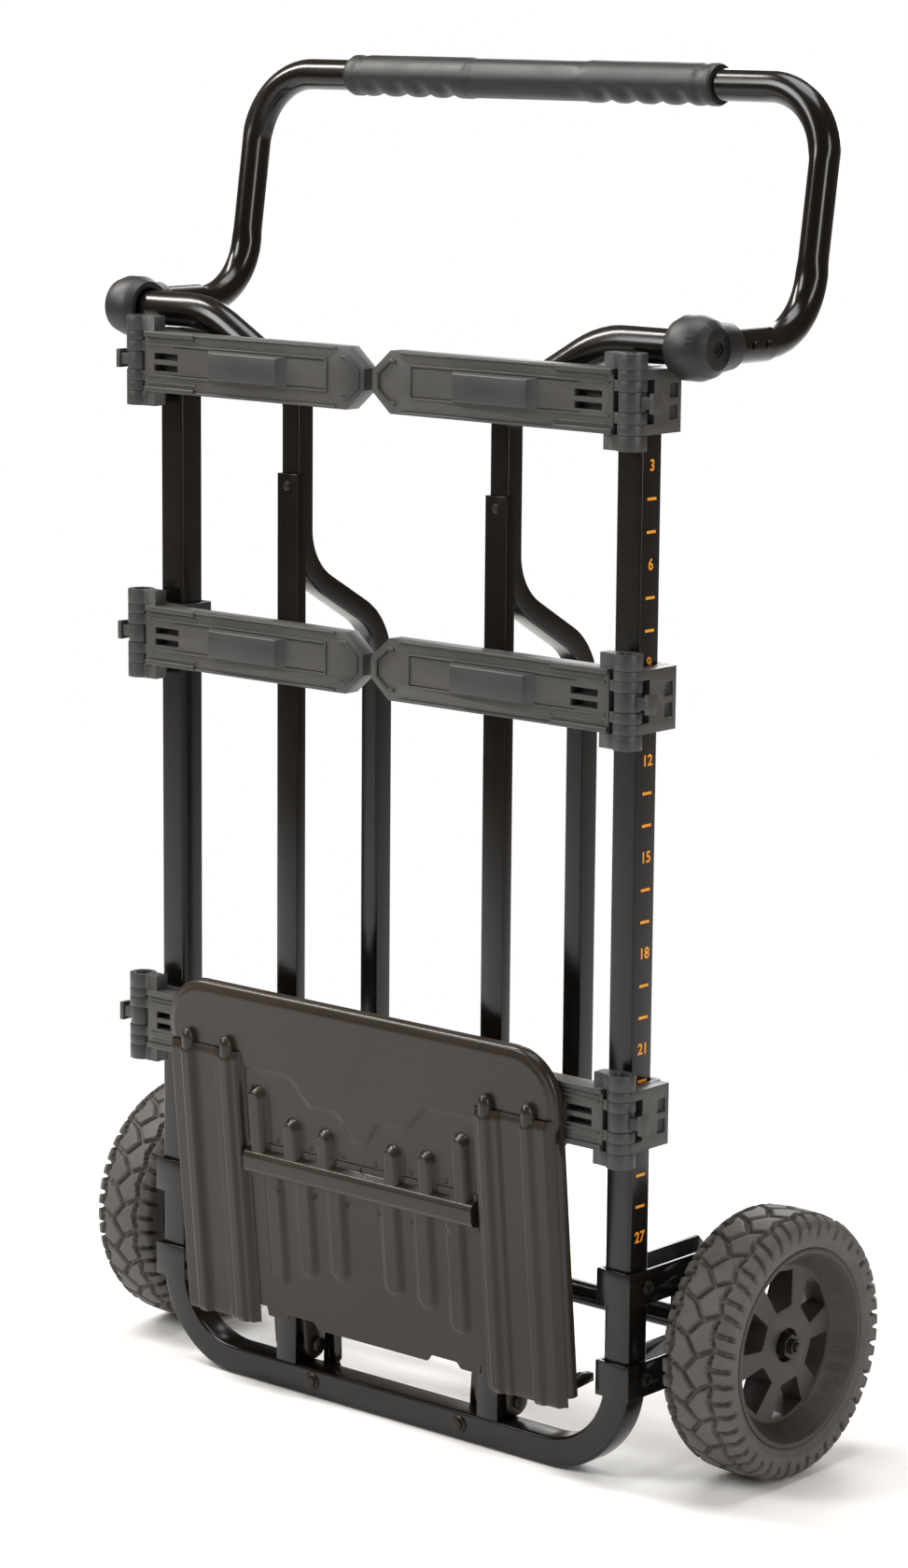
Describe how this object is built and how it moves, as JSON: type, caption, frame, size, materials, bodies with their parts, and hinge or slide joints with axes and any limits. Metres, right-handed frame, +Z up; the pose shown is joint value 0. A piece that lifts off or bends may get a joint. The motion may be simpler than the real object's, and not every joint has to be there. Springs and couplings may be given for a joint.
{
  "type": "tool-box trolley",
  "caption": "Upright two-wheeled trolley for stacked tool boxes, with fold-up toe plate, sliding fold-in bracket arms and a hooped handle with rubber grip.",
  "frame": {"origin": "floor under the middle of the bottom rail, on the plane of the two posts", "axes": "+X towards the right post, -Y towards the load, +Z up"},
  "size_m": [0.696, 0.2666, 1.115],
  "materials": {
    "frame_paint": "gloss",
    "plate_paint": "satin",
    "bracket_plastic": "matte",
    "hub_plastic": "satin",
    "tread_rubber": "matte",
    "soft_rubber": "matte",
    "black_steel_hardware": "satin"
  },
  "bodies": {
    "frame": {"u_frame": "frame_paint", "post_caps": "soft_rubber", "channel_left": "frame_paint", "channel_right": "frame_paint", "channel_rivets": "black_steel_hardware", "leg_left": "frame_paint", "leg_right": "frame_paint", "low_tube_left": "frame_paint", "low_tube_right": "frame_paint", "bumper_left": "soft_rubber", "bumper_right": "soft_rubber", "bumper_screws": "black_steel_hardware", "hoop": "frame_paint", "socket_rivets": "black_steel_hardware", "grip": "soft_rubber", "strap_upper_left": "frame_paint", "strap_upper_right": "frame_paint", "strap_lower_left": "frame_paint", "strap_lower_right": "frame_paint", "strap_bolts": "black_steel_hardware", "axle_tube": "frame_paint", "axle_rod": "black_steel_hardware", "axle_nuts": "black_steel_hardware", "rail_screws": "black_steel_hardware", "stop_tabs": "frame_paint", "pivot_brackets": "frame_paint", "toe_bolts": "black_steel_hardware"},
    "wheel_left": {"hub_left": "hub_plastic", "tyre_left": "tread_rubber"},
    "wheel_right": {"hub_right": "hub_plastic", "tyre_right": "tread_rubber"},
    "toe": {"toe_sheet": "plate_paint", "runner_left": "plate_paint", "runner_right": "plate_paint", "cross_bar": "plate_paint", "toe_lugs": "plate_paint"},
    "slider_low_left": {"clamp_low_left": "bracket_plastic", "pin_low_left": "black_steel_hardware", "arm_low_left": "bracket_plastic"},
    "latch_low_left": {"latch_low_left": "bracket_plastic"},
    "slider_low_right": {"clamp_low_right": "bracket_plastic", "pin_low_right": "black_steel_hardware", "arm_low_right": "bracket_plastic"},
    "latch_low_right": {"latch_low_right": "bracket_plastic"},
    "slider_mid_left": {"clamp_mid_left": "bracket_plastic", "pin_mid_left": "black_steel_hardware"},
    "arm_mid_left": {"arm_mid_left": "bracket_plastic"},
    "latch_mid_left": {"latch_mid_left": "bracket_plastic"},
    "slider_mid_right": {"clamp_mid_right": "bracket_plastic", "pin_mid_right": "black_steel_hardware"},
    "arm_mid_right": {"arm_mid_right": "bracket_plastic"},
    "latch_mid_right": {"latch_mid_right": "bracket_plastic"},
    "slider_top_left": {"clamp_top_left": "bracket_plastic", "pin_top_left": "black_steel_hardware"},
    "arm_top_left": {"arm_top_left": "bracket_plastic"},
    "latch_top_left": {"latch_top_left": "bracket_plastic"},
    "slider_top_right": {"clamp_top_right": "bracket_plastic", "pin_top_right": "black_steel_hardware"},
    "arm_top_right": {"arm_top_right": "bracket_plastic"},
    "latch_top_right": {"latch_top_right": "bracket_plastic"}
  },
  "joints": [
    {"name": "wheel_left_spin", "type": "hinge", "parent": "frame", "child": "wheel_left", "pos_m": [-0.316, 0.0986, 0.109], "axis": [1, 0, 0], "continuous": true},
    {"name": "wheel_right_spin", "type": "hinge", "parent": "frame", "child": "wheel_right", "pos_m": [0.316, 0.0986, 0.109], "axis": [1, 0, 0], "continuous": true},
    {"name": "toe_fold", "type": "hinge", "parent": "frame", "child": "toe", "pos_m": [0, 0.006, 0.04], "axis": [1, 0, 0], "range_deg": [0, 84.6]},
    {"name": "slide_low_left", "type": "slide", "parent": "frame", "child": "slider_low_left", "axis": [0, 0, 1], "range_m": [0, 0.125]},
    {"name": "latch_low_left_turn", "type": "hinge", "parent": "slider_low_left", "child": "latch_low_left", "pos_m": [-0.262, -0.031, 0.306], "axis": [0, 0, 1], "range_deg": [-12, 0], "stiffness_Nm_per_rad": 0.05},
    {"name": "slide_low_right", "type": "slide", "parent": "frame", "child": "slider_low_right", "axis": [0, 0, 1], "range_m": [0, 0.125]},
    {"name": "latch_low_right_turn", "type": "hinge", "parent": "slider_low_right", "child": "latch_low_right", "pos_m": [0.262, -0.031, 0.306], "axis": [0, 0, 1], "range_deg": [0, 12], "stiffness_Nm_per_rad": 0.05},
    {"name": "slide_mid_left", "type": "slide", "parent": "frame", "child": "slider_mid_left", "axis": [0, 0, 1], "range_m": [-0.125, 0.075]},
    {"name": "swing_mid_left", "type": "hinge", "parent": "slider_mid_left", "child": "arm_mid_left", "pos_m": [-0.262, -0.031, 0.636], "axis": [0, 0, 1], "range_deg": [-90, 0]},
    {"name": "latch_mid_left_turn", "type": "hinge", "parent": "slider_mid_left", "child": "latch_mid_left", "pos_m": [-0.262, -0.031, 0.636], "axis": [0, 0, 1], "range_deg": [-12, 0], "stiffness_Nm_per_rad": 0.05},
    {"name": "slide_mid_right", "type": "slide", "parent": "frame", "child": "slider_mid_right", "axis": [0, 0, 1], "range_m": [-0.125, 0.075]},
    {"name": "swing_mid_right", "type": "hinge", "parent": "slider_mid_right", "child": "arm_mid_right", "pos_m": [0.262, -0.031, 0.636], "axis": [0, 0, 1], "range_deg": [0, 90]},
    {"name": "latch_mid_right_turn", "type": "hinge", "parent": "slider_mid_right", "child": "latch_mid_right", "pos_m": [0.262, -0.031, 0.636], "axis": [0, 0, 1], "range_deg": [0, 12], "stiffness_Nm_per_rad": 0.05},
    {"name": "slide_top_left", "type": "slide", "parent": "frame", "child": "slider_top_left", "axis": [0, 0, 1], "range_m": [-0.075, 0]},
    {"name": "swing_top_left", "type": "hinge", "parent": "slider_top_left", "child": "arm_top_left", "pos_m": [-0.262, -0.031, 0.865], "axis": [0, 0, 1], "range_deg": [-90, 0]},
    {"name": "latch_top_left_turn", "type": "hinge", "parent": "slider_top_left", "child": "latch_top_left", "pos_m": [-0.262, -0.031, 0.865], "axis": [0, 0, 1], "range_deg": [-12, 0], "stiffness_Nm_per_rad": 0.05},
    {"name": "slide_top_right", "type": "slide", "parent": "frame", "child": "slider_top_right", "axis": [0, 0, 1], "range_m": [-0.075, 0]},
    {"name": "swing_top_right", "type": "hinge", "parent": "slider_top_right", "child": "arm_top_right", "pos_m": [0.262, -0.031, 0.865], "axis": [0, 0, 1], "range_deg": [0, 90]},
    {"name": "latch_top_right_turn", "type": "hinge", "parent": "slider_top_right", "child": "latch_top_right", "pos_m": [0.262, -0.031, 0.865], "axis": [0, 0, 1], "range_deg": [0, 12], "stiffness_Nm_per_rad": 0.05}
  ]
}
